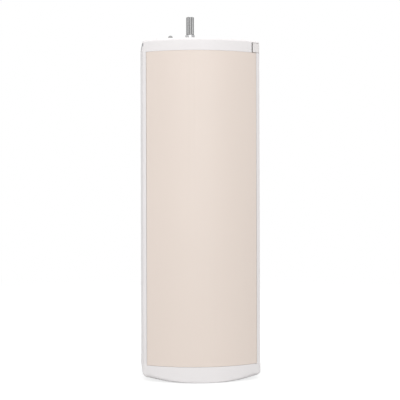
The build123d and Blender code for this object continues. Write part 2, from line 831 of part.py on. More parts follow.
# Adapter plate between motor and gearbox
with BuildPart() as adapter_plate:
    with BuildSketch(drive_plane(can_top)):
        Circle(ring_outer_radius)
        with Locations(*lug_offsets):
            Circle(lug_radius)
    extrude(amount=adapter_thickness)
    with BuildSketch(drive_plane(can_top)):
        Circle(can_boss_radius)
        with Locations(*lug_offsets):
            Circle(m3_radius)
        with Locations(*adapter_screw_offsets):
            Circle(m3_core_radius)
    extrude(amount=adapter_thickness, mode=Mode.SUBTRACT)
    with BuildSketch(drive_plane(ring_bottom)):
        with Locations(*adapter_screw_offsets):
            Circle(m3_head_radius)
    extrude(amount=-m3_head_height, mode=Mode.SUBTRACT)
finish(adapter_plate.part, "adapter_plate")

# Long screws that clamp adapter plate, ring gear and flange together
with BuildPart() as gearbox_screws:
    with BuildSketch(drive_plane(can_top - m3_head_height)):
        with Locations(*lug_offsets):
            Circle(m3_head_radius)
    extrude(amount=m3_head_height)
    with BuildSketch(drive_plane(can_top)):
        with Locations(*lug_offsets):
            Circle(m3_core_radius)
    extrude(amount=adapter_thickness + ring_length + lug_screw_grip - end_play)
finish(gearbox_screws.part, "gearbox_screws")

# Two screws that hold the motor's can to the adapter plate
with BuildPart() as motor_screws:
    with BuildSketch(drive_plane(ring_bottom - m3_head_height)):
        with Locations(*adapter_screw_offsets):
            Circle(m3_head_radius)
    extrude(amount=m3_head_height)
    with BuildSketch(drive_plane(can_top - can_end)):
        with Locations(*adapter_screw_offsets):
            Circle(m3_core_radius)
    extrude(amount=can_end + adapter_thickness - m3_head_height)
finish(motor_screws.part, "motor_screws")

# Motor can: a deep-drawn cup, open underneath, with a boss for the front bush
with BuildPart() as motor_can:
    with BuildSketch(drive_plane(can_bottom)):
        Circle(can_radius)
    extrude(amount=can_length)
    with BuildSketch(drive_plane(can_top)):
        Circle(can_boss_radius)
    extrude(amount=can_boss_height)
    with BuildSketch(drive_plane(can_bottom)):
        Circle(can_radius - can_wall)
    extrude(amount=can_length - can_end, mode=Mode.SUBTRACT)
    with BuildSketch(drive_plane(can_top - can_end)):
        Circle(motor_bush_radius)
        with Locations(*adapter_screw_offsets):
            Circle(m3_core_radius)
    extrude(amount=can_end + can_boss_height, mode=Mode.SUBTRACT)
finish(motor_can.part, "motor_can")

# End bell, with guides for the brushes and posts for the encoder board
with BuildPart() as motor_end_bell:
    with BuildSketch(drive_plane(bell_bottom)):
        Circle(can_radius)
    extrude(amount=bell_thickness)
    with BuildSketch(drive_plane(can_bottom)):
        Circle(can_radius - can_wall)
    extrude(amount=bell_register)
    with BuildSketch(drive_plane(can_bottom)):
        Circle(bell_hub_radius)
    extrude(amount=bell_hub_height)
    with BuildSketch(drive_plane(bell_bottom)):
        with Locations((0, bell_post_y), (0, -bell_post_y)):
            Circle(bell_post_radius)
    extrude(amount=-encoder_gap)
    # guides: a channel open at the inner end and closed outside by the spring arm
    with BuildSketch(drive_plane(can_bottom)):
        for side in (-1, 1):
            with Locations((side * (arm_x - guide_length / 2), 0)):
                Rectangle(guide_length, brush_width + 2 * guide_wall)
    extrude(amount=brush_level + brush_height + guide_wall - can_bottom)
    with BuildSketch(drive_plane(brush_level)):
        for side in (-1, 1):
            with Locations((side * (arm_x - brush_length / 2), 0)):
                Rectangle(2 * brush_length, brush_width + 2 * running_clearance)
    extrude(amount=brush_height, mode=Mode.SUBTRACT)
    with BuildSketch(drive_plane(bell_bottom)):
        Circle(motor_bush_radius)
        for side in (-1, 1):
            with Locations((side * (arm_x + arm_thickness / 2), 0)):
                Rectangle(arm_thickness, arm_width)
    extrude(amount=bell_thickness + bell_hub_height, mode=Mode.SUBTRACT)
finish(motor_end_bell.part, "motor_end_bell")

# Sintered bushes for the motor's shaft, one in the can's boss and one in the end bell
with BuildPart() as motor_bushes:
    for level in (can_top + can_boss_height - motor_bush_length, bell_bottom):
        with BuildSketch(drive_plane(level)):
            Circle(motor_bush_radius)
            Circle(motor_shaft_radius + running_clearance, mode=Mode.SUBTRACT)
        extrude(amount=motor_bush_length)
finish(motor_bushes.part, "motor_bushes")

# Field magnets: two arcs bonded inside the can
with BuildPart() as field_magnets:
    with BuildSketch(drive_plane(core_level + (core_length - magnet_length) / 2)):
        Circle(can_radius - can_wall)
        Circle(magnet_inner_radius, mode=Mode.SUBTRACT)
        Rectangle(2 * can_radius, magnet_gap, mode=Mode.SUBTRACT)
    extrude(amount=magnet_length)
finish(field_magnets.part, "field_magnets")

# Carbon brushes
with BuildPart() as brushes:
    with BuildSketch(drive_plane(brush_level)):
        for side in (-1, 1):
            with Locations((side * (arm_x - brush_length / 2), 0)):
                Rectangle(brush_length, brush_width)
        Circle(commutator_radius + running_clearance, mode=Mode.SUBTRACT)
    extrude(amount=brush_height)
finish(brushes.part, "brushes")

# Spring arms behind the brushes, with tails down to the encoder board
with BuildPart() as brush_arms:
    with BuildSketch(drive_plane(bell_bottom - arm_tail)):
        for side in (-1, 1):
            with Locations((side * (arm_x + arm_thickness / 2), 0)):
                Rectangle(arm_thickness, arm_width)
    extrude(amount=brush_level + brush_height - bell_bottom + arm_tail)
finish(brush_arms.part, "brush_arms")

# Rubber sleeve round the motor's lower end, where the casing's saddle steadies it
with BuildPart() as motor_sleeve:
    with BuildSketch(drive_plane(can_bottom + sleeve_bottom)):
        Circle(sleeve_radius)
        Circle(can_radius, mode=Mode.SUBTRACT)
    extrude(amount=sleeve_length)
finish(motor_sleeve.part, "motor_sleeve")

# Encoder board on the end bell's posts, with two sensors over the magnet
with BuildPart() as encoder_board:
    with BuildSketch(drive_plane(encoder_bottom)):
        Circle(encoder_radius)
        Circle(motor_shaft_radius + 1, mode=Mode.SUBTRACT)
        for side in (-1, 1):
            with Locations((side * (arm_x + arm_thickness / 2), 0)):
                Rectangle(arm_thickness, arm_width, mode=Mode.SUBTRACT)
    extrude(amount=encoder_thickness)
    with BuildSketch(drive_plane(encoder_bottom)):
        with Locations((0, -hall_orbit), (0, hall_orbit)):
            Rectangle(hall_size, hall_size)
    extrude(amount=-hall_height)
finish(encoder_board.part, "encoder_board")

# Motor shaft
with BuildPart() as motor_shaft:
    with BuildSketch(drive_plane(motor_shaft_bottom)):
        Circle(motor_shaft_radius)
    extrude(amount=first_planet_top - motor_shaft_bottom)
finish(motor_shaft.part, "motor_shaft")

# Armature core: five poles with shoes
with BuildPart() as armature_core:
    with BuildSketch(drive_plane(core_level)):
        Circle(core_radius)
        Circle(core_radius - core_shoe, mode=Mode.SUBTRACT)
        Circle(core_hub_radius)
        with PolarLocations((core_hub_radius + core_radius - core_shoe) / 2, pole_count):
            Rectangle(core_radius - core_shoe - core_hub_radius + core_shoe, core_web)
        with PolarLocations(core_radius, pole_count, start_angle=180 / pole_count):
            Rectangle(2 * core_shoe + 1, core_slit, mode=Mode.SUBTRACT)
        Circle(motor_shaft_radius, mode=Mode.SUBTRACT)
    extrude(amount=core_length)
finish(armature_core.part, "armature_core")

# Armature windings: one coil round each pole
coil_half = core_web / 2 + winding_build
coil_inner = core_hub_radius + 3 * winding_clearance
coil_outer = sqrt((core_radius - core_shoe - winding_clearance) ** 2 - coil_half**2)
with BuildPart() as armature_windings:
    with BuildSketch(drive_plane(core_level - winding_overhang)):
        with PolarLocations((coil_inner + coil_outer) / 2, pole_count):
            Rectangle(coil_outer - coil_inner, 2 * coil_half)
    extrude(amount=core_length + 2 * winding_overhang)
    with BuildSketch(drive_plane(core_level - winding_clearance)):
        with PolarLocations((coil_inner + coil_outer) / 2, pole_count):
            Rectangle(coil_outer - coil_inner, core_web)
    extrude(amount=core_length + 2 * winding_clearance, mode=Mode.SUBTRACT)
finish(armature_windings.part, "armature_windings")

# Commutator
with BuildPart() as commutator:
    with BuildSketch(drive_plane(commutator_bottom)):
        Circle(commutator_radius)
        Circle(motor_shaft_radius, mode=Mode.SUBTRACT)
        with PolarLocations(commutator_radius, pole_count):
            Rectangle(2 * commutator_slit, commutator_slit, mode=Mode.SUBTRACT)
    extrude(amount=commutator_length)
finish(commutator.part, "commutator")

# Magnet wheel read by the encoder
with BuildPart() as encoder_magnet:
    with BuildSketch(drive_plane(encoder_magnet_top - encoder_magnet_length)):
        Circle(encoder_magnet_radius)
        Circle(motor_shaft_radius, mode=Mode.SUBTRACT)
    extrude(amount=encoder_magnet_length)
finish(encoder_magnet.part, "encoder_magnet")

# Motor pinion, the first stage's sun
with BuildPart() as motor_pinion:
    with BuildSketch(drive_plane(pinion_bottom)):
        sun_outline = gear_outline(sun_teeth, sun_radius - dedendum, sun_radius + addendum, backlash / 2)
        add(sun_outline)
        Circle(motor_shaft_radius, mode=Mode.SUBTRACT)
    extrude(amount=first_carrier_bottom - end_play - pinion_bottom)
finish(motor_pinion.part, "motor_pinion")

# First carrier, with the second stage's sun on top
with BuildPart() as first_carrier:
    with BuildSketch(drive_plane(first_carrier_bottom)):
        Circle(carrier_radius)
        with Locations(*planet_offsets):
            Circle(pin_radius, mode=Mode.SUBTRACT)
    extrude(amount=carrier_thickness)
    with BuildSketch(drive_plane(first_carrier_top)):
        add(sun_outline)
    extrude(amount=second_planet_top - first_carrier_top)
finish(first_carrier.part, "first_carrier")

# Output carrier
with BuildPart() as output_carrier:
    with BuildSketch(drive_plane(output_carrier_bottom)):
        Circle(carrier_radius)
        Circle(journal_radius, mode=Mode.SUBTRACT)
        with Locations(*planet_offsets):
            Circle(pin_radius, mode=Mode.SUBTRACT)
    extrude(amount=carrier_thickness)
finish(output_carrier.part, "output_carrier")

# Each stage's planet pins and planet gears
for stage, planet_bottom, planet_top, pin_top in (
    ("first", first_planet_bottom, first_planet_top, first_carrier_top),
    ("second", second_planet_bottom, second_planet_top, output_carrier_top),
):
    with BuildPart() as planet_pins:
        with BuildSketch(drive_plane(planet_bottom)):
            with Locations(*planet_offsets):
                Circle(pin_radius)
        extrude(amount=pin_top - planet_bottom)
    finish(planet_pins.part, f"{stage}_planet_pins")
    for index, letter in enumerate("abc"):
        planet_plane = Plane(
            (drive_x + planet_offsets[index][0], drive_y + planet_offsets[index][1], planet_bottom),
            x_dir=(1, 0, 0),
            z_dir=(0, 0, 1),
        )
        with BuildPart() as planet:
            with BuildSketch(planet_plane):
                planet_outline = gear_outline(
                    planet_teeth,
                    planet_radius - dedendum,
                    planet_radius + addendum,
                    backlash / 2,
                    planet_phase(index),
                )
                add(planet_outline)
                Circle(pin_radius + running_clearance, mode=Mode.SUBTRACT)
            extrude(amount=planet_top - planet_bottom)
        finish(planet.part, f"{stage}_planet_{letter}")

# Output shaft: round in the bush, then a spline of round lobes for the belt pulley
with BuildPart() as output_shaft:
    with BuildSketch(drive_plane(output_carrier_bottom)):
        Circle(journal_radius)
    extrude(amount=collar_top - output_carrier_bottom)
    with BuildSketch(drive_plane(collar_top)):
        Circle(spline_core_radius)
        with PolarLocations(spline_tip_radius - spline_lobe_radius, spline_lobes, start_angle=45):
            Circle(spline_lobe_radius)
    extrude(amount=spline_height)
    spline_top = collar_top + spline_height
    with BuildSketch(Plane.XZ):
        with BuildLine():
            Polyline(
                (drive_x + spline_tip_radius - spline_chamfer, spline_top),
                (drive_x + spline_tip_radius, spline_top - spline_chamfer),
                (drive_x + spline_tip_radius, spline_top),
                close=True,
            )
        make_face()
    revolve(axis=Axis((drive_x, drive_y, 0), (0, 0, 1)), mode=Mode.SUBTRACT)
finish(output_shaft.part, "output_shaft")

# Collar pressed on the shaft under its spline
with BuildPart() as shaft_collar:
    with BuildSketch(drive_plane(flange_top)):
        Circle(collar_radius)
        Circle(journal_radius, mode=Mode.SUBTRACT)
    extrude(amount=collar_top - flange_top)
    chamfer(shaft_collar.faces().sort_by(Axis.Z)[-1].outer_wire().edges(), collar_chamfer)
finish(shaft_collar.part, "shaft_collar")

# Power board, upright behind the other electronics
with BuildPart() as power_board:
    with BuildSketch(Plane.XY.offset(board_bottom)):
        with Locations((0, board_y + board_thickness / 2)):
            Rectangle(2 * board_half_width, board_thickness)
    extrude(amount=board_height)
finish(power_board.part, "power_board")

# Transformer: a shell core with its wound bobbin round the middle leg
core_y = board_y - coil_build - core_size_y / 2
with BuildPart() as transformer_core:
    with BuildSketch(Plane.XZ.offset(core_size_y / 2 - core_y)):
        with Locations((transformer_x, transformer_z)):
            Rectangle(core_size_x, core_size_z)
            Rectangle(core_size_x - 2 * core_leg, core_size_z - 2 * core_leg, mode=Mode.SUBTRACT)
            Rectangle(core_centre_leg, core_size_z)
    extrude(amount=-core_size_y)
finish(transformer_core.part, "transformer_core")
with BuildPart() as transformer_coil:
    coil_width = core_size_x - 2 * core_leg - 2 * coil_clearance
    with BuildSketch(Plane.XY.offset(transformer_z - core_size_z / 2 + core_leg)):
        with Locations((transformer_x, core_y)):
            RectangleRounded(coil_width, core_size_y + 2 * coil_build, coil_build / 2)
            Rectangle(core_centre_leg, core_size_y, mode=Mode.SUBTRACT)
    extrude(amount=core_size_z - 2 * core_leg)
finish(transformer_coil.part, "transformer_coil")

# Smoothing capacitor, lying forward from the board
with BuildPart() as smoothing_capacitor:
    with BuildSketch(Plane.XZ.offset(-board_y)):
        with Locations((capacitor_x, capacitor_z)):
            Circle(capacitor_radius)
    extrude(amount=capacitor_length)
    chamfer(smoothing_capacitor.faces().sort_by(Axis.Y)[0].edges(), capacitor_edge)
finish(smoothing_capacitor.part, "smoothing_capacitor")

# Filter capacitor and choke
with BuildPart() as filter_capacitor:
    with BuildSketch(Plane.XZ.offset(-board_y)):
        with Locations((filter_x, filter_z)):
            Rectangle(filter_size[0], filter_size[2])
    extrude(amount=filter_size[1])
finish(filter_capacitor.part, "filter_capacitor")
with BuildPart() as filter_choke:
    for start, height, radius in (
        (0.0, choke_flange, choke_radius),
        (choke_flange, choke_length - 2 * choke_flange, choke_core_radius),
        (choke_length - choke_flange, choke_flange, choke_radius),
    ):
        with BuildSketch(Plane.XZ.offset(start - board_y)):
            with Locations((choke_x, choke_z)):
                Circle(radius)
        extrude(amount=height)
finish(filter_choke.part, "filter_choke")

# Fuse: a tube between two end caps, flat on the board
with BuildPart() as fuse:
    for start, length, radius in (
        (0.0, fuse_cap_length, fuse_cap_radius),
        (fuse_cap_length, fuse_length - 2 * fuse_cap_length, fuse_radius),
        (fuse_length - fuse_cap_length, fuse_cap_length, fuse_cap_radius),
    ):
        with BuildSketch(Plane.YZ.offset(fuse_x - fuse_length / 2 + start)):
            with Locations((board_y - fuse_cap_radius, fuse_z)):
                Circle(radius)
        extrude(amount=length)
finish(fuse.part, "fuse")

# Finned heat sink of the motor's switching transistors
with BuildPart() as heat_sink:
    with BuildSketch(Plane.XY.offset(sink_z - sink_height / 2)):
        with Locations((sink_x, board_y - sink_base / 2)):
            Rectangle(sink_width, sink_base)
        with Locations((sink_x, board_y - sink_depth / 2)):
            with GridLocations((sink_width - sink_fin) / (sink_fins - 1), 1, sink_fins, 1):
                Rectangle(sink_fin, sink_depth)
    extrude(amount=sink_height)
finish(heat_sink.part, "heat_sink")

# Control board over the sockets, with its chips, and the status light underneath
with BuildPart() as control_board:
    with BuildSketch(Plane.XY.offset(control_level)):
        with Locations((0, (control_front_y + control_rear_y) / 2)):
            Rectangle(control_width, control_rear_y - control_front_y)
        with Locations(*control_post_points):
            Circle(m2_radius, mode=Mode.SUBTRACT)
    extrude(amount=board_thickness)
    for (chip_x, chip_y, chip_height), chip_place in zip(chip_sizes, chip_places):
        with BuildSketch(Plane.XY.offset(control_top)):
            with Locations(chip_place):
                Rectangle(chip_x, chip_y)
        extrude(amount=chip_height)
    with BuildSketch(Plane.XY.offset(control_level)):
        with Locations((lens_x, lens_y)):
            Rectangle(led_size, led_size)
    extrude(amount=-led_height)
finish(control_board.part, "control_board")
with BuildPart() as board_screws:
    with BuildSketch(Plane.XY.offset(control_top)):
        with Locations(*control_post_points):
            Circle(m2_head_radius)
    extrude(amount=m2_head_height)
    with BuildSketch(Plane.XY.offset(control_top)):
        with Locations(*control_post_points):
            Circle(m2_core_radius)
    extrude(amount=end_play - board_thickness - board_screw_length)
finish(board_screws.part, "board_screws")

# Mains inlet: a two-pin socket for a figure-eight plug
with BuildPart() as mains_inlet:
    with BuildSketch(Plane.XY.offset(socket_recess)):
        with Locations((inlet_x, inlet_y)):
            Rectangle(*inlet_size)
    extrude(amount=control_level - socket_recess)
    with BuildSketch(Plane.XY.offset(socket_recess)):
        with Locations((inlet_x, inlet_y)):
            SlotOverall(*inlet_mouth)
    extrude(amount=inlet_mouth_depth, mode=Mode.SUBTRACT)
finish(mains_inlet.part, "mains_inlet")
with BuildPart() as inlet_pins:
    with BuildSketch(Plane.XY.offset(socket_recess + inlet_mouth_depth)):
        with Locations((inlet_x, inlet_y)):
            with GridLocations(inlet_pin_spacing, 1, 2, 1):
                Circle(inlet_pin_radius)
    extrude(amount=-inlet_pin_length)
finish(inlet_pins.part, "inlet_pins")

# Bus jack for a wall switch or a receiver
with BuildPart() as bus_jack:
    with BuildSketch(Plane.XY.offset(socket_recess)):
        with Locations((jack_x, jack_y)):
            Rectangle(*jack_size)
    extrude(amount=control_level - socket_recess)
    with BuildSketch(Plane.XY.offset(socket_recess)):
        with Locations((jack_x, jack_y)):
            Rectangle(*jack_mouth)
        with Locations((jack_x, jack_y + (jack_mouth[1] + jack_latch[1]) / 2)):
            Rectangle(*jack_latch)
    extrude(amount=jack_mouth_depth, mode=Mode.SUBTRACT)
finish(bus_jack.part, "bus_jack")
with BuildPart() as jack_contacts:
    contact_y = jack_y - jack_mouth[1] / 2 + jack_contact_width / 2
    with BuildSketch(Plane.XY.offset(socket_recess + jack_contact_recess)):
        with Locations((jack_x, contact_y)):
            with GridLocations(jack_contact_pitch, 1, jack_contacts_count, 1):
                Rectangle(jack_contact_width, jack_contact_width)
    extrude(amount=jack_mouth_depth - jack_contact_recess)
finish(jack_contacts.part, "jack_contacts")

# Program button, its switch under the control board, and the status light's lens
with BuildPart() as program_button:
    with BuildSketch(Plane.XY.offset(button_recess)):
        with Locations((button_x, button_y)):
            Circle(button_radius)
    extrude(amount=switch_bottom - button_travel - button_clearance - button_recess)
    chamfer(program_button.faces().sort_by(Axis.Z)[0].edges(), button_edge)
    with BuildSketch(Plane.XY.offset(1.5 * base_floor + button_clearance)):
        with Locations((button_x, button_y)):
            Circle(button_collar_radius)
    extrude(amount=button_collar_height)
    with BuildSketch(Plane.XY.offset(switch_bottom - button_travel - button_clearance)):
        with Locations((button_x, button_y)):
            Circle(button_pin_radius)
    extrude(amount=button_pin_length)
finish(program_button.part, "program_button")
with BuildPart() as button_switch:
    with BuildSketch(Plane.XY.offset(switch_bottom)):
        with Locations((button_x, button_y)):
            Rectangle(switch_size, switch_size)
            Circle(button_pin_radius + button_clearance, mode=Mode.SUBTRACT)
    extrude(amount=switch_height)
finish(button_switch.part, "button_switch")
with BuildPart() as status_lens:
    with BuildSketch(Plane.XY.offset(lens_recess)):
        with Locations((lens_x, lens_y)):
            Circle(lens_radius)
    extrude(amount=control_level - led_height - end_play - lens_recess)
    with BuildSketch(Plane.XY.offset(base_floor)):
        with Locations((lens_x, lens_y)):
            Circle(lens_head_radius)
    extrude(amount=lens_head_height)
finish(status_lens.part, "status_lens")

# Motor leads: from the encoder board down and back to the power board
with BuildPart() as motor_leads:
    for lead_x in (drive_x - lead_spread, drive_x + lead_spread):
        with BuildLine() as lead_path:
            FilletPolyline(
                (lead_x, drive_y + bell_post_y, encoder_bottom),
                (lead_x, drive_y + bell_post_y, lead_level),
                (lead_x, board_y, lead_level),
                radius=lead_bend,
            )
        with BuildSketch(Plane((lead_x, drive_y + bell_post_y, encoder_bottom), z_dir=(0, 0, -1))):
            RegularPolygon(lead_radius, 8)
        sweep(path=lead_path.wires()[0])
finish(motor_leads.part, "motor_leads")

# Flat cable from the power board to the control board
with BuildPart() as board_cable:
    with BuildLine() as cable_path:
        FilletPolyline(
            (cable_x, board_y, cable_level),
            (cable_x, cable_y, cable_level),
            (cable_x, cable_y, control_top),
            radius=cable_bend,
        )
    with BuildSketch(Plane((cable_x, board_y, cable_level), x_dir=(1, 0, 0), z_dir=(0, -1, 0))):
        Rectangle(cable_width, cable_thickness)
    sweep(path=cable_path.wires()[0])
finish(board_cable.part, "board_cable")
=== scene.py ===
import json
from math import radians

import bmesh
import bpy
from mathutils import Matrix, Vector


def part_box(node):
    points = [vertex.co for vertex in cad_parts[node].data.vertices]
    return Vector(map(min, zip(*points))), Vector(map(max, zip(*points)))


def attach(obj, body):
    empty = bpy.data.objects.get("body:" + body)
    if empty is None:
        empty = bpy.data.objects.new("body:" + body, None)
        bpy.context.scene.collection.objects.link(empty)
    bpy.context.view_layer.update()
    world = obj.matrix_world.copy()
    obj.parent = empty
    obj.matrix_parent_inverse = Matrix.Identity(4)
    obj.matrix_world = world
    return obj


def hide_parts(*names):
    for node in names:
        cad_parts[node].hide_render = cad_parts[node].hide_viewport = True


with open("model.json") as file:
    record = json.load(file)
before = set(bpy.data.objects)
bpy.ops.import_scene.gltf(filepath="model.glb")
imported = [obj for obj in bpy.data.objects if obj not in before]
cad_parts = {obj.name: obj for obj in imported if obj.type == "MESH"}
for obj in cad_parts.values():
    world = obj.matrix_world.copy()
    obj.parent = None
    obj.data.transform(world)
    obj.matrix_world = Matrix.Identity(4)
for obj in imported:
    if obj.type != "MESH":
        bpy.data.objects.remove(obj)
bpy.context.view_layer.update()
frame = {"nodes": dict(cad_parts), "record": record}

# Curtain-track drive motor, dressed for the studio. Metres, Z up, front towards -Y.
MM = 0.001
WHITE = (1.0, 1.0, 1.0, 1.0)

# Camera, fitted to the photograph's outline
camera_turn = 5.0  # degrees the view is turned from straight ahead, from the left
camera_roll = 0.16  # degrees by which the photograph leans
camera_place = (-0.0533, -0.6097, 0.1130)
camera_lens = 87.4  # mm of focal length
camera_sensor = 36.0  # mm
camera_shift = (0.0022, -0.01225)
camera_clip = 0.01

# Studio
floor_size = 6.0
floor_level = -0.0002  # a hair under the part's underside
floor_colour = (0.28, 0.28, 0.28)
floor_roughness = 0.9
floor_glow = 0.78  # what makes the floor white for the camera where nothing shades it
floor_fade = (0.2, 0.7)  # from where to where the floor turns to plain white
ambient_light = 0.94
softboxes = {
    "front_softbox": {"place": (-0.07, -1.6, 0.5), "aim": (0.0, 0.0, 0.11), "side": 1.6, "power": 14.4},
    "top_softbox": {"place": (0.0, -0.2, 1.6), "aim": (0.0, 0.0, 0.1), "side": 1.8, "power": 4.2},
    "side_softbox": {"place": (-1.6, -0.3, 0.5), "aim": (0.0, 0.0, 0.11), "side": 1.6, "power": 2.7},
}

# Node materials
noise_range = (0.3, 0.7)  # between which most values of a noise lie
ring_stretch = (0.02, 0.02, 1.0)  # draws a noise out into rings round the upright axis
line_stretch = (1.0, 1.0, 0.02)  # draws it out into lines along that axis

# Rounding of moulded and cut edges, in mm
edge_rounding = {
    "main_housing": 0.2,
    "front_cover": 0.03,
    "bottom_cap": 0.2,
    "lock_tab": 0.05,
    "lock_plate": 0.03,  # more would fold its faces over the keyhole
    "gearbox_flange": 0.2,
    "locating_pegs": 0.15,
    "base_screws": 0.1,
    "flange_screws": 0.1,
    "output_bush": 0.1,
    "output_shaft": 0.12,
    "shaft_collar": 0.1,
    "mains_inlet": 0.15,
    "inlet_pins": 0.08,
    "bus_jack": 0.12,
    "jack_contacts": 0.04,
    "program_button": 0.08,
    "status_lens": 0.06,
}
seam_rounding = 0.03  # of the edges that face the cover or the tab
seamed = ("main_housing", "bottom_cap")  # what has such edges
seam_reach = 0.8  # mm round the cover and the tab within which an edge faces them
rounding_steps = 2
rounding_profile = 0.5  # a round one

# How meshes are read
sharp_edge = 32.0  # degrees between faces from which an edge counts as one
flat_angle = 0.4  # degrees within which faces count as one plane
weld_distance = 1e-6  # metres within which vertices are one
cut_distance = 1e-7  # metres within which a vertex lies on a cutting plane
level_slack = 0.01  # mm by which a vertex may miss a level and still count as on it
wall_facing = 0.05  # share of a normal along Y from which a face belongs to a front or back wall
underside_facing = -0.5  # share of a normal along Z below which a face belongs to the underside
slant_facing = (0.05, 0.999)  # between these shares along Z a face is part of a rounded edge

# Lower edge of the bottom cap, in mm: rounded more towards the sides
base_edge_radius = 1.2  # as in the CAD piece
base_middle_radius = 0.4
base_side_radius = 3.1
base_growth = 1.5  # power by which the rounding grows with the distance from the middle
base_fade = 5.0  # width at each side over which it gives way to the side's own rounding
base_corner_share = 0.45  # what is left of it right at the side
base_first_level = 0.1  # lowest level cut through the walls
base_level_step = 0.25
base_width_step = 2.0

# Front edges of the cover, in mm
cover_edge_radius = 0.5  # as in the CAD piece
cover_edge_share = 0.3  # what is left of it in the finished piece
cover_tongue = 2.2  # by which the tongues reach past the front panel, above and below
cover_side_growth = 0.08  # by which the finished cover narrows the joint lines beside it
cover_lower_growth = 0.1  # and the one below it


# Materials


class Finish:
    """A node material: its Principled shader and the nodes that vary it over the surface."""

    def __init__(self, name, colour, roughness, metallic=0.0):
        self.material = bpy.data.materials.new(name)
        self.material.use_nodes = True
        self.nodes = self.material.node_tree.nodes
        self.links = self.material.node_tree.links
        self.shader = self.nodes["Principled BSDF"]
        self.shader.inputs["Metallic"].default_value = metallic
        self.shader.inputs["Base Color"].default_value = (*colour, 1.0)
        self.shader.inputs["Roughness"].default_value = roughness
        self.colour = colour
        self.roughness = roughness
        self.place = self.nodes.new("ShaderNodeTexCoord").outputs["Object"]

    def noise(self, scale, detail=2.0, stretch=(1.0, 1.0, 1.0)):
        """Noise in object space; scale is in cycles per metre."""
        mapping = self.nodes.new("ShaderNodeMapping")
        mapping.inputs["Scale"].default_value = stretch
        self.links.new(self.place, mapping.inputs["Vector"])
        texture = self.nodes.new("ShaderNodeTexNoise")
        texture.inputs["Scale"].default_value = scale
        texture.inputs["Detail"].default_value = detail
        self.links.new(mapping.outputs["Vector"], texture.inputs["Vector"])
        return texture.outputs["Fac"]

    def spread(self, value, low, high):
        """Spreads the usual values of a noise over low..high."""
        remap = self.nodes.new("ShaderNodeMapRange")
        remap.inputs["From Min"].default_value, remap.inputs["From Max"].default_value = noise_range
        remap.inputs["To Min"].default_value = low
        remap.inputs["To Max"].default_value = high
        self.links.new(value, remap.inputs["Value"])
        return remap.outputs["Result"]

    def vary_colour(self, value, amount):
        """Lightens and darkens the base colour by a share, either side."""
        mix = self.nodes.new("ShaderNodeMix")
        mix.data_type = "RGBA"
        mix.inputs["A"].default_value = (*[c * (1 - amount) for c in self.colour], 1.0)
        mix.inputs["B"].default_value = (*[min(c * (1 + amount), 1.0) for c in self.colour], 1.0)
        self.links.new(self.spread(value, 0.0, 1.0), mix.inputs["Factor"])
        self.links.new(mix.outputs["Result"], self.shader.inputs["Base Color"])

    def vary_roughness(self, value, amount):
        """Raises and lowers the roughness by an amount, either side."""
        roughness = self.spread(value, self.roughness - amount, self.roughness + amount)
        self.links.new(roughness, self.shader.inputs["Roughness"])

    def relief(self, value, depth):
        """Bump of a depth in metres."""
        bump = self.nodes.new("ShaderNodeBump")
        bump.inputs["Distance"].default_value = depth
        bump.inputs["Strength"].default_value = 1.0
        self.links.new(value, bump.inputs["Height"])
        self.links.new(bump.outputs["Normal"], self.shader.inputs["Normal"])

    def set(self, **sockets):
        """Sets numbers on the shader; an underscore stands for a space."""
        for name, value in sockets.items():
            self.shader.inputs[name.replace("_", " ")].default_value = value


def moulded(name, colour, roughness=0.5, grain=1400.0, depth=1e-5, mottle=0.015):
    """Moulded plastic: fine spark-eroded grain and faint, broad changes of tone."""
    finish = Finish(name, colour, roughness)
    finish.vary_colour(finish.noise(26.0, detail=3.0), mottle)
    finish.vary_roughness(finish.noise(120.0, detail=3.0), 0.05)
    finish.relief(finish.noise(grain), depth)
    return finish.material


def lacquered(name, colour, roughness=0.4):
    """Painted cover: satin, with a barely visible orange peel."""
    finish = Finish(name, colour, roughness)
    finish.vary_colour(finish.noise(18.0), 0.008)
    finish.vary_roughness(finish.noise(90.0, detail=3.0), 0.04)
    finish.relief(finish.noise(900.0, detail=1.0), 6e-6)
    return finish.material


def turned(name, colour, roughness=0.3, stretch=ring_stretch):
    """Turned or ground metal: fine rings round the upright axis, or lines along it."""
    finish = Finish(name, colour, roughness, metallic=1.0)
    finish.vary_colour(finish.noise(5000.0, stretch=stretch), 0.08)
    finish.vary_roughness(finish.noise(3500.0, stretch=stretch), 0.08)
    finish.relief(finish.noise(6000.0, detail=1.0, stretch=stretch), 3e-6)
    return finish.material


def plated(name, colour, roughness=0.34):
    """Zinc-plated steel: a cloudy film and slight waviness."""
    finish = Finish(name, colour, roughness, metallic=1.0)
    finish.vary_colour(finish.noise(160.0, detail=4.0), 0.1)
    finish.vary_roughness(finish.noise(420.0, detail=3.0), 0.1)
    finish.relief(finish.noise(900.0), 8e-6)
    return finish.material


def cast(name, colour, roughness=0.55):
    """Cast or sintered metal with a grainy skin."""
    finish = Finish(name, colour, roughness, metallic=1.0)
    finish.vary_colour(finish.noise(300.0, detail=4.0), 0.12)
    finish.vary_roughness(finish.noise(500.0, detail=3.0), 0.1)
    finish.relief(finish.noise(1500.0, detail=3.0), 3e-5)
    return finish.material


def wound(name, colour, roughness=0.35):
    """Enamelled wire laid side by side."""
    finish = Finish(name, colour, roughness, metallic=1.0)
    finish.vary_colour(finish.noise(700.0, stretch=(1.0, 1.0, 0.1)), 0.2)
    finish.relief(finish.noise(1800.0, detail=1.0, stretch=(1.0, 1.0, 0.08)), 8e-5)
    return finish.material


def board(name, colour, roughness=0.4):
    """Circuit board: solder mask over faint copper."""
    finish = Finish(name, colour, roughness)
    finish.vary_colour(finish.noise(350.0, detail=1.0), 0.3)
    finish.relief(finish.noise(350.0, detail=1.0), 3e-5)
    return finish.material


def glazed(name, colour, roughness=0.08):
    """Clear plastic or glass."""
    finish = Finish(name, colour, roughness)
    finish.set(IOR=1.5, Transmission_Weight=0.9)
    finish.vary_roughness(finish.noise(200.0), 0.03)
    return finish.material


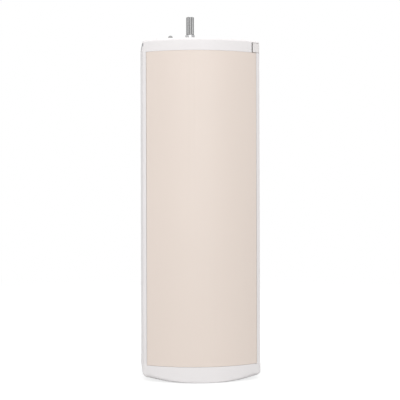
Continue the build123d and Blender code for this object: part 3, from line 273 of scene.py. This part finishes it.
# Each of the record's slots: what makes its material, its colour and its settings
dark_plastic = {"grain": 2200.0, "depth": 2e-5, "mottle": 0.2}
slot_finishes = {
    "shell_white": (moulded, (0.80, 0.775, 0.775), {"roughness": 0.52}),
    "cover_beige": (lacquered, (0.755, 0.66, 0.595), {}),
    "tab_white": (moulded, (0.79, 0.76, 0.75), {}),
    "plate_steel": (plated, (0.55, 0.56, 0.58), {}),
    "shaft_steel": (turned, (0.25, 0.25, 0.25), {"stretch": line_stretch}),
    "collar_steel": (turned, (0.47, 0.47, 0.475), {}),
    "screw_steel": (plated, (0.52, 0.53, 0.55), {}),
    "peg_grey": (moulded, (0.29, 0.29, 0.29), {"roughness": 0.45, "grain": 2000.0}),
    "casting": (cast, (0.56, 0.57, 0.58), {}),
    "bronze": (cast, (0.62, 0.42, 0.22), {"roughness": 0.45}),
    "gear_plastic": (moulded, (0.74, 0.72, 0.66), {"roughness": 0.42}),
    "ring_plastic": (moulded, (0.03, 0.03, 0.033), dark_plastic),
    "gear_steel": (cast, (0.46, 0.46, 0.48), {"roughness": 0.4}),
    "can_steel": (plated, (0.6, 0.61, 0.6), {"roughness": 0.3}),
    "bell_plastic": (moulded, (0.05, 0.05, 0.055), dark_plastic),
    "magnet": (cast, (0.1, 0.1, 0.11), {"roughness": 0.5}),
    "carbon": (
        moulded,
        (0.03, 0.03, 0.03),
        {"roughness": 0.7, "grain": 3000.0, "depth": 3e-5, "mottle": 0.3},
    ),
    "copper": (wound, (0.78, 0.36, 0.16), {}),
    "rubber_black": (
        moulded,
        (0.018, 0.018, 0.018),
        {"roughness": 0.75, "grain": 1200.0, "depth": 4e-5, "mottle": 0.2},
    ),
    "board_green": (board, (0.02, 0.16, 0.06), {}),
    "ferrite": (
        moulded,
        (0.045, 0.045, 0.05),
        {"roughness": 0.45, "grain": 1500.0, "depth": 3e-5, "mottle": 0.25},
    ),
    "coil_tape": (
        moulded,
        (0.72, 0.52, 0.06),
        {"roughness": 0.35, "grain": 700.0, "depth": 2e-5, "mottle": 0.08},
    ),
    "capacitor_sleeve": (moulded, (0.02, 0.03, 0.09), {"roughness": 0.3, "grain": 900.0, "mottle": 0.1}),
    "film_box": (moulded, (0.65, 0.52, 0.2), {"roughness": 0.4, "grain": 1500.0, "mottle": 0.05}),
    "fuse_glass": (glazed, (0.9, 0.93, 0.92), {}),
    "heat_metal": (turned, (0.7, 0.71, 0.72), {"roughness": 0.35}),
    "socket_black": (moulded, (0.022, 0.022, 0.024), {"roughness": 0.45, "grain": 2400.0, "mottle": 0.15}),
    "contact_metal": (turned, (0.82, 0.62, 0.28), {"roughness": 0.25}),
    "button_grey": (moulded, (0.5, 0.5, 0.51), {"roughness": 0.45}),
    "lens_clear": (glazed, (0.93, 0.94, 0.95), {"roughness": 0.15}),
    "wire_sleeve": (moulded, (0.45, 0.02, 0.015), {"roughness": 0.4, "grain": 900.0, "mottle": 0.1}),
}


def make_materials():
    """One material for each of the record's slots, under the slot's name."""
    for packed in list(bpy.data.materials):
        packed.name = "packed_" + packed.name
    return {
        slot: make(slot, colour, **settings)
        for slot, (make, colour, settings) in slot_finishes.items()
    }


def slot_of(node):
    """The slot that a CAD node's material is named after."""
    return node.data.materials[0].name.removeprefix("packed_").split(".")[0]


def dress_nodes(materials):
    """Gives each CAD node the finished material of its slot."""
    for node in frame["nodes"].values():
        node.data.materials[0] = materials[slot_of(node)]


# Meshes


def inside(point, box, reach):
    """Whether a point lies in a box, or closer to it than a reach."""
    return all(low - reach < value < high + reach for value, low, high in zip(point, *box))


def arc_inset(height, radius):
    """How far a rounded edge has drawn back at a height over its foot; all in mm."""
    if height >= radius:
        return 0.0
    return radius - (radius**2 - (radius - max(height, 0.0)) ** 2) ** 0.5


def outward(vertex, faces):
    """The level direction in which the given faces at a vertex look."""
    total = Vector((0.0, 0.0, 0.0))
    for face in vertex.link_faces:
        if face in faces:
            total += Vector((face.normal.x, face.normal.y, 0.0))
    return total.normalized()


def corners_of(faces):
    return {vertex for face in faces for vertex in face.verts}


def move_vertices(moves):
    for vertex, move in moves.items():
        vertex.co += move


def cut_faces(shape, faces, points, normal):
    """Cuts faces by parallel planes through the points, and returns what they have become."""
    parts = [face for face in shape.faces if face in faces]  # in the mesh's order on each run
    for face in list(parts):
        parts.extend(face.edges)
        parts.extend(face.verts)
    parts = list(dict.fromkeys(parts))
    for point in points:
        cut = bmesh.ops.bisect_plane(
            shape,
            geom=parts,
            dist=cut_distance,
            plane_co=Vector(point) * MM,
            plane_no=normal,
        )
        parts = cut["geom"]
    return {part for part in parts if isinstance(part, bmesh.types.BMFace)}


def steps(low, high, step):
    """Evenly spaced values from low to high."""
    return [low + step * k for k in range(int((high - low) / step) + 1)]


# Bottom cap


def looks_out(face):
    """Whether a face is part of the cap's outer front or back wall, with the rounding under it."""
    centre = face.calc_center_median()
    away = face.normal.x * centre.x + face.normal.y * centre.y > 0
    return away and abs(face.normal.y) > wall_facing


def largest_wall(shape, way):
    """The largest outer wall face on the back, for way 1, or on the front, for way -1."""
    walls = [face for face in shape.faces if looks_out(face) and face.normal.y * way > 0]
    return max(walls, key=lambda face: face.calc_area())


def wall_faces(shape):
    """The outer front and back wall with the rounding under them, without the underside."""
    to_search = [largest_wall(shape, -1), largest_wall(shape, 1)]
    found = set(to_search)
    while to_search:
        for edge in to_search.pop().edges:
            for face in edge.link_faces:
                if face not in found and looks_out(face):
                    found.add(face)
                    to_search.append(face)
    return found


def lower_border(walls):
    """The walls' vertices that the underside shares."""

    def meets_underside(vertex):
        others = [face for face in vertex.link_faces if face not in walls]
        return any(face.normal.z < underside_facing for face in others)

    return {vertex for vertex in corners_of(walls) if meets_underside(vertex)}


def underside_heights(border):
    """Distance from the middle and height of the border, in mm and in order."""
    return sorted((abs(v.co.x) / MM, v.co.z / MM) for v in border)


def height_at(profile, place):
    """The height of the border at a distance from the middle, in mm."""
    below = [point for point in profile if point[0] <= place] or profile[:1]
    above = [point for point in profile if point[0] > place] or profile[-1:]
    (x0, z0), (x1, z1) = below[-1], above[0]
    return z0 if x1 <= x0 else z0 + (z1 - z0) * (place - x0) / (x1 - x0)


def base_radius(side_share, half):
    """The rounding at a share of the way from the middle to the side; half is half the width."""
    radius = base_middle_radius + (base_side_radius - base_middle_radius) * side_share**base_growth
    to_side = min(half * (1 - side_share) / base_fade, 1.0)
    fade = base_corner_share + (1 - base_corner_share) * to_side**2 * (3 - 2 * to_side)
    return radius * fade


def cut_walls(shape, walls, half, top):
    """Cuts the walls level up to the top, and upright, so that they can follow an arc."""
    levels = [(0, 0, z) for z in steps(base_first_level, top, base_level_step)]
    walls = cut_faces(shape, walls, levels, (0, 0, 1))
    widths = [(x, 0, 0) for x in steps(-half, half, base_width_step)]
    return cut_faces(shape, walls, widths, (1, 0, 0))


def soften_base(shape):
    """Draws the cap's front and back walls in above the underside, in an arc that grows to the sides.

    Returns the vertices of the softened edge, which needs no further rounding.
    """
    half = max(v.co.x for v in shape.verts) / MM
    walls = wall_faces(shape)
    profile = underside_heights(lower_border(walls))
    walls = cut_walls(shape, walls, half, profile[-1][1] + base_side_radius)
    border = lower_border(walls)
    moves = {}
    for vertex in corners_of(walls):
        from_middle = abs(vertex.co.x) / MM
        height = vertex.co.z / MM
        away = outward(vertex, walls)
        over_foot = 0.0 if vertex in border else height - height_at(profile, from_middle)
        inset = arc_inset(over_foot, base_radius(min(from_middle / half, 1.0), half))
        drawn = (inset - arc_inset(height, base_edge_radius)) * away.y**2
        moves[vertex] = away * -drawn * MM
    move_vertices(moves)
    shape.normal_update()
    return border


# Front cover


def slanted_faces(shape):
    """The faces of the cover's rounded upper and lower front edges."""
    low, high = slant_facing
    return {
        face
        for face in shape.faces
        if face.normal.y < -wall_facing and low < abs(face.normal.z) < high
    }


def shrink_rounding(shape, ends):
    """Shrinks the rounding at the ends of the front panel, given as height in mm and way inwards."""
    slanted = slanted_faces(shape)
    shrink = 1 - cover_edge_share
    moves = {}
    for vertex in corners_of(slanted):
        for end, way in ends:
            height = (vertex.co.z / MM - end) * way
            if -level_slack < height < cover_edge_radius + level_slack:
                inset = arc_inset(height, cover_edge_radius)
                to_end = Vector((0.0, 0.0, -way * height))
                moves[vertex] = (outward(vertex, slanted) * inset + to_end) * shrink * MM
    move_vertices(moves)


def narrow_joint_lines(shape, lower_end):
    """Moves the cover's sides and its panel's lower edge outwards."""
    side = max(v.co.x for v in shape.verts) / MM
    lower_reach = cover_edge_radius * cover_edge_share + level_slack
    for vertex in shape.verts:
        if abs(vertex.co.x) / MM > side - level_slack:
            vertex.co.x += cover_side_growth * MM * (1 if vertex.co.x > 0 else -1)
        if abs(vertex.co.z / MM - lower_end) < lower_reach:
            vertex.co.z -= cover_lower_growth * MM


def crisp_cover(shape):
    """Shrinks the rounding of the cover's upper and lower front edges, and narrows its joint lines."""
    low, high = (corner[2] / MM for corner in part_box("front_cover"))
    shrink_rounding(shape, ((low + cover_tongue, 1), (high - cover_tongue, -1)))
    narrow_joint_lines(shape, low + cover_tongue)
    shape.normal_update()


# Finished pieces


def body_of_node(name):
    """The body of the record that a node belongs to."""
    for body, members in frame["record"]["behaviour"]["bodies"].items():
        if name in members:
            return body
    return None


def read_shape(mesh):
    """A mesh for editing, with its vertices welded and its flat faces in one piece."""
    shape = bmesh.new()
    shape.from_mesh(mesh)
    bmesh.ops.remove_doubles(shape, verts=shape.verts, dist=weld_distance)
    bmesh.ops.dissolve_limit(
        shape, angle_limit=radians(flat_angle), verts=shape.verts, edges=shape.edges
    )
    return shape


def sharp_edges(shape):
    """The outside edges between two faces that meet at an angle."""
    limit = radians(sharp_edge)
    pairs = [e for e in shape.edges if len(e.link_faces) == 2]
    return [e for e in pairs if e.is_convex and e.calc_face_angle() > limit]


def round_edges(shape, edges, radius):
    """Rounds edges by a radius in mm, less where there is no room for it."""
    bmesh.ops.bevel(
        shape,
        geom=edges,
        offset=radius * MM,
        offset_type="OFFSET",
        segments=rounding_steps,
        profile=rounding_profile,
        affect="EDGES",
        clamp_overlap=True,
    )


def round_seamed(shape, edges, radius):
    """Rounds edges by a radius in mm, and those that face the cover or the tab by less."""
    neighbours = [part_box("front_cover"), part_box("lock_tab")]

    def faces_neighbour(edge):
        middle = (edge.verts[0].co + edge.verts[1].co) / 2
        return any(inside(middle, box, seam_reach * MM) for box in neighbours)

    at_seam = {edge: faces_neighbour(edge) for edge in edges}
    round_edges(shape, [edge for edge in edges if not at_seam[edge]], radius)
    round_edges(shape, [edge for edge in edges if edge.is_valid and at_seam.get(edge)], seam_rounding)


def shade(shape):
    """Shades faces as one surface up to the edges where they meet at an angle."""
    for face in shape.faces:
        face.smooth = True
    for edge in shape.edges:
        edge.smooth = len(edge.link_faces) == 2 and edge.calc_face_angle() < radians(sharp_edge)


def finish_shape(shape, name, rounding):
    """Gives a CAD piece's mesh its finished form."""
    softened = soften_base(shape) if name == "bottom_cap" else set()
    if name == "front_cover":
        crisp_cover(shape)
    edges = [edge for edge in sharp_edges(shape) if softened.isdisjoint(edge.verts)]
    if name in seamed:
        round_seamed(shape, edges, rounding)
    else:
        round_edges(shape, edges, rounding)
    shade(shape)


def finished_copy(name, rounding):
    """A copy of a CAD piece with its outside edges rounded, riding where the piece rides."""
    source = frame["nodes"][name]
    mesh = source.data.copy()
    shape = read_shape(mesh)
    finish_shape(shape, name, rounding)
    shape.to_mesh(mesh)
    shape.free()
    piece = bpy.data.objects.new("finished_" + name, mesh)
    bpy.context.scene.collection.objects.link(piece)
    even = piece.modifiers.new("even_normals", "WEIGHTED_NORMAL")
    even.keep_sharp = True
    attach(piece, body_of_node(name))
    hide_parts(name)


# Studio set-up


def seen_rays(nodes, links):
    """1 for the rays of the camera, of a mirror and of a clear piece, 0 for those that light things."""
    path = nodes.new("ShaderNodeLightPath")
    total = path.outputs["Is Camera Ray"]
    for kind in ("Is Glossy Ray", "Is Transmission Ray"):
        add = nodes.new("ShaderNodeMath")
        add.operation = "ADD"
        add.use_clamp = True
        links.new(total, add.inputs[0])
        links.new(path.outputs[kind], add.inputs[1])
        total = add.outputs["Value"]
    return total


def product(nodes, links, value):
    """A node that multiplies a value by its second input."""
    times = nodes.new("ShaderNodeMath")
    times.operation = "MULTIPLY"
    links.new(value, times.inputs[0])
    return times


def share_far_out(nodes, links, place):
    """0 near the origin, growing smoothly to 1 further out."""
    distance = nodes.new("ShaderNodeVectorMath")
    distance.operation = "LENGTH"
    links.new(place, distance.inputs[0])
    fade = nodes.new("ShaderNodeMapRange")
    fade.interpolation_type = "SMOOTHSTEP"
    fade.inputs["From Min"].default_value, fade.inputs["From Max"].default_value = floor_fade
    links.new(distance.outputs["Value"], fade.inputs["Value"])
    return fade.outputs["Result"]


def floor_material():
    """Pale and shaded by the object near it, and plain white further out."""
    finish = Finish("floor", floor_colour, floor_roughness)
    nodes, links = finish.nodes, finish.links
    finish.set(Specular_IOR_Level=0.0, Emission_Color=WHITE)
    seen = seen_rays(nodes, links)
    glow = product(nodes, links, seen)
    glow.inputs[1].default_value = floor_glow
    links.new(glow.outputs["Value"], finish.shader.inputs["Emission Strength"])
    whiteness = product(nodes, links, share_far_out(nodes, links, finish.place))
    links.new(seen, whiteness.inputs[1])
    white = nodes.new("ShaderNodeEmission")
    white.inputs["Color"].default_value = WHITE
    blend = nodes.new("ShaderNodeMixShader")
    links.new(whiteness.outputs["Value"], blend.inputs["Fac"])
    links.new(finish.shader.outputs["BSDF"], blend.inputs[1])
    links.new(white.outputs["Emission"], blend.inputs[2])
    links.new(blend.outputs["Shader"], nodes["Material Output"].inputs["Surface"])
    return finish.material


def make_floor():
    """A pale floor that shows the object's shadow and turns to plain white further out."""
    mesh = bpy.data.meshes.new("floor")
    half = floor_size / 2
    corners = [(-half, -half), (half, -half), (half, half), (-half, half)]
    mesh.from_pydata([(x, y, floor_level) for x, y in corners], [], [(0, 1, 2, 3)])
    mesh.materials.append(floor_material())
    floor = bpy.data.objects.new("floor", mesh)
    bpy.context.scene.collection.objects.link(floor)


def background(nodes, strength):
    """An even white background of a strength."""
    node = nodes.new("ShaderNodeBackground")
    node.inputs["Color"].default_value = WHITE
    node.inputs["Strength"].default_value = strength
    return node.outputs["Background"]


def make_world():
    """White where the camera, a mirror or a clear piece sees it, and a soft even light for the rest."""
    world = bpy.data.worlds.new("studio")
    bpy.context.scene.world = world
    world.use_nodes = True
    nodes, links = world.node_tree.nodes, world.node_tree.links
    nodes.clear()
    mix = nodes.new("ShaderNodeMixShader")
    links.new(seen_rays(nodes, links), mix.inputs["Fac"])
    links.new(background(nodes, ambient_light), mix.inputs[1])
    links.new(background(nodes, 1.0), mix.inputs[2])
    links.new(mix.outputs["Shader"], nodes.new("ShaderNodeOutputWorld").inputs["Surface"])


def make_camera():
    """The camera, at the photograph's angle."""
    data = bpy.data.cameras.new("camera")
    data.lens = camera_lens
    data.sensor_width = camera_sensor
    data.shift_x, data.shift_y = camera_shift
    data.clip_start = camera_clip
    camera = bpy.data.objects.new("camera", data)
    camera.location = camera_place
    camera.rotation_euler = (radians(90.0), radians(camera_roll), radians(-camera_turn))
    bpy.context.scene.collection.objects.link(camera)
    bpy.context.scene.camera = camera


def make_softbox(name, place, aim, side, power):
    """A square soft light; side is its width and height."""
    lamp = bpy.data.lights.new(name, "AREA")
    lamp.shape = "SQUARE"
    lamp.size = side
    lamp.energy = power
    holder = bpy.data.objects.new(name, lamp)
    holder.location = place
    direction = Vector(aim) - Vector(place)
    holder.rotation_euler = direction.to_track_quat("-Z", "Y").to_euler()
    bpy.context.scene.collection.objects.link(holder)


def make_studio():
    """World, floor, camera and lights."""
    make_world()
    make_floor()
    make_camera()
    for name, softbox in softboxes.items():
        make_softbox(name, **softbox)
    bpy.context.scene.view_settings.view_transform = "Standard"


make_studio()
dress_nodes(make_materials())
for node_name, node_rounding in edge_rounding.items():
    finished_copy(node_name, node_rounding)
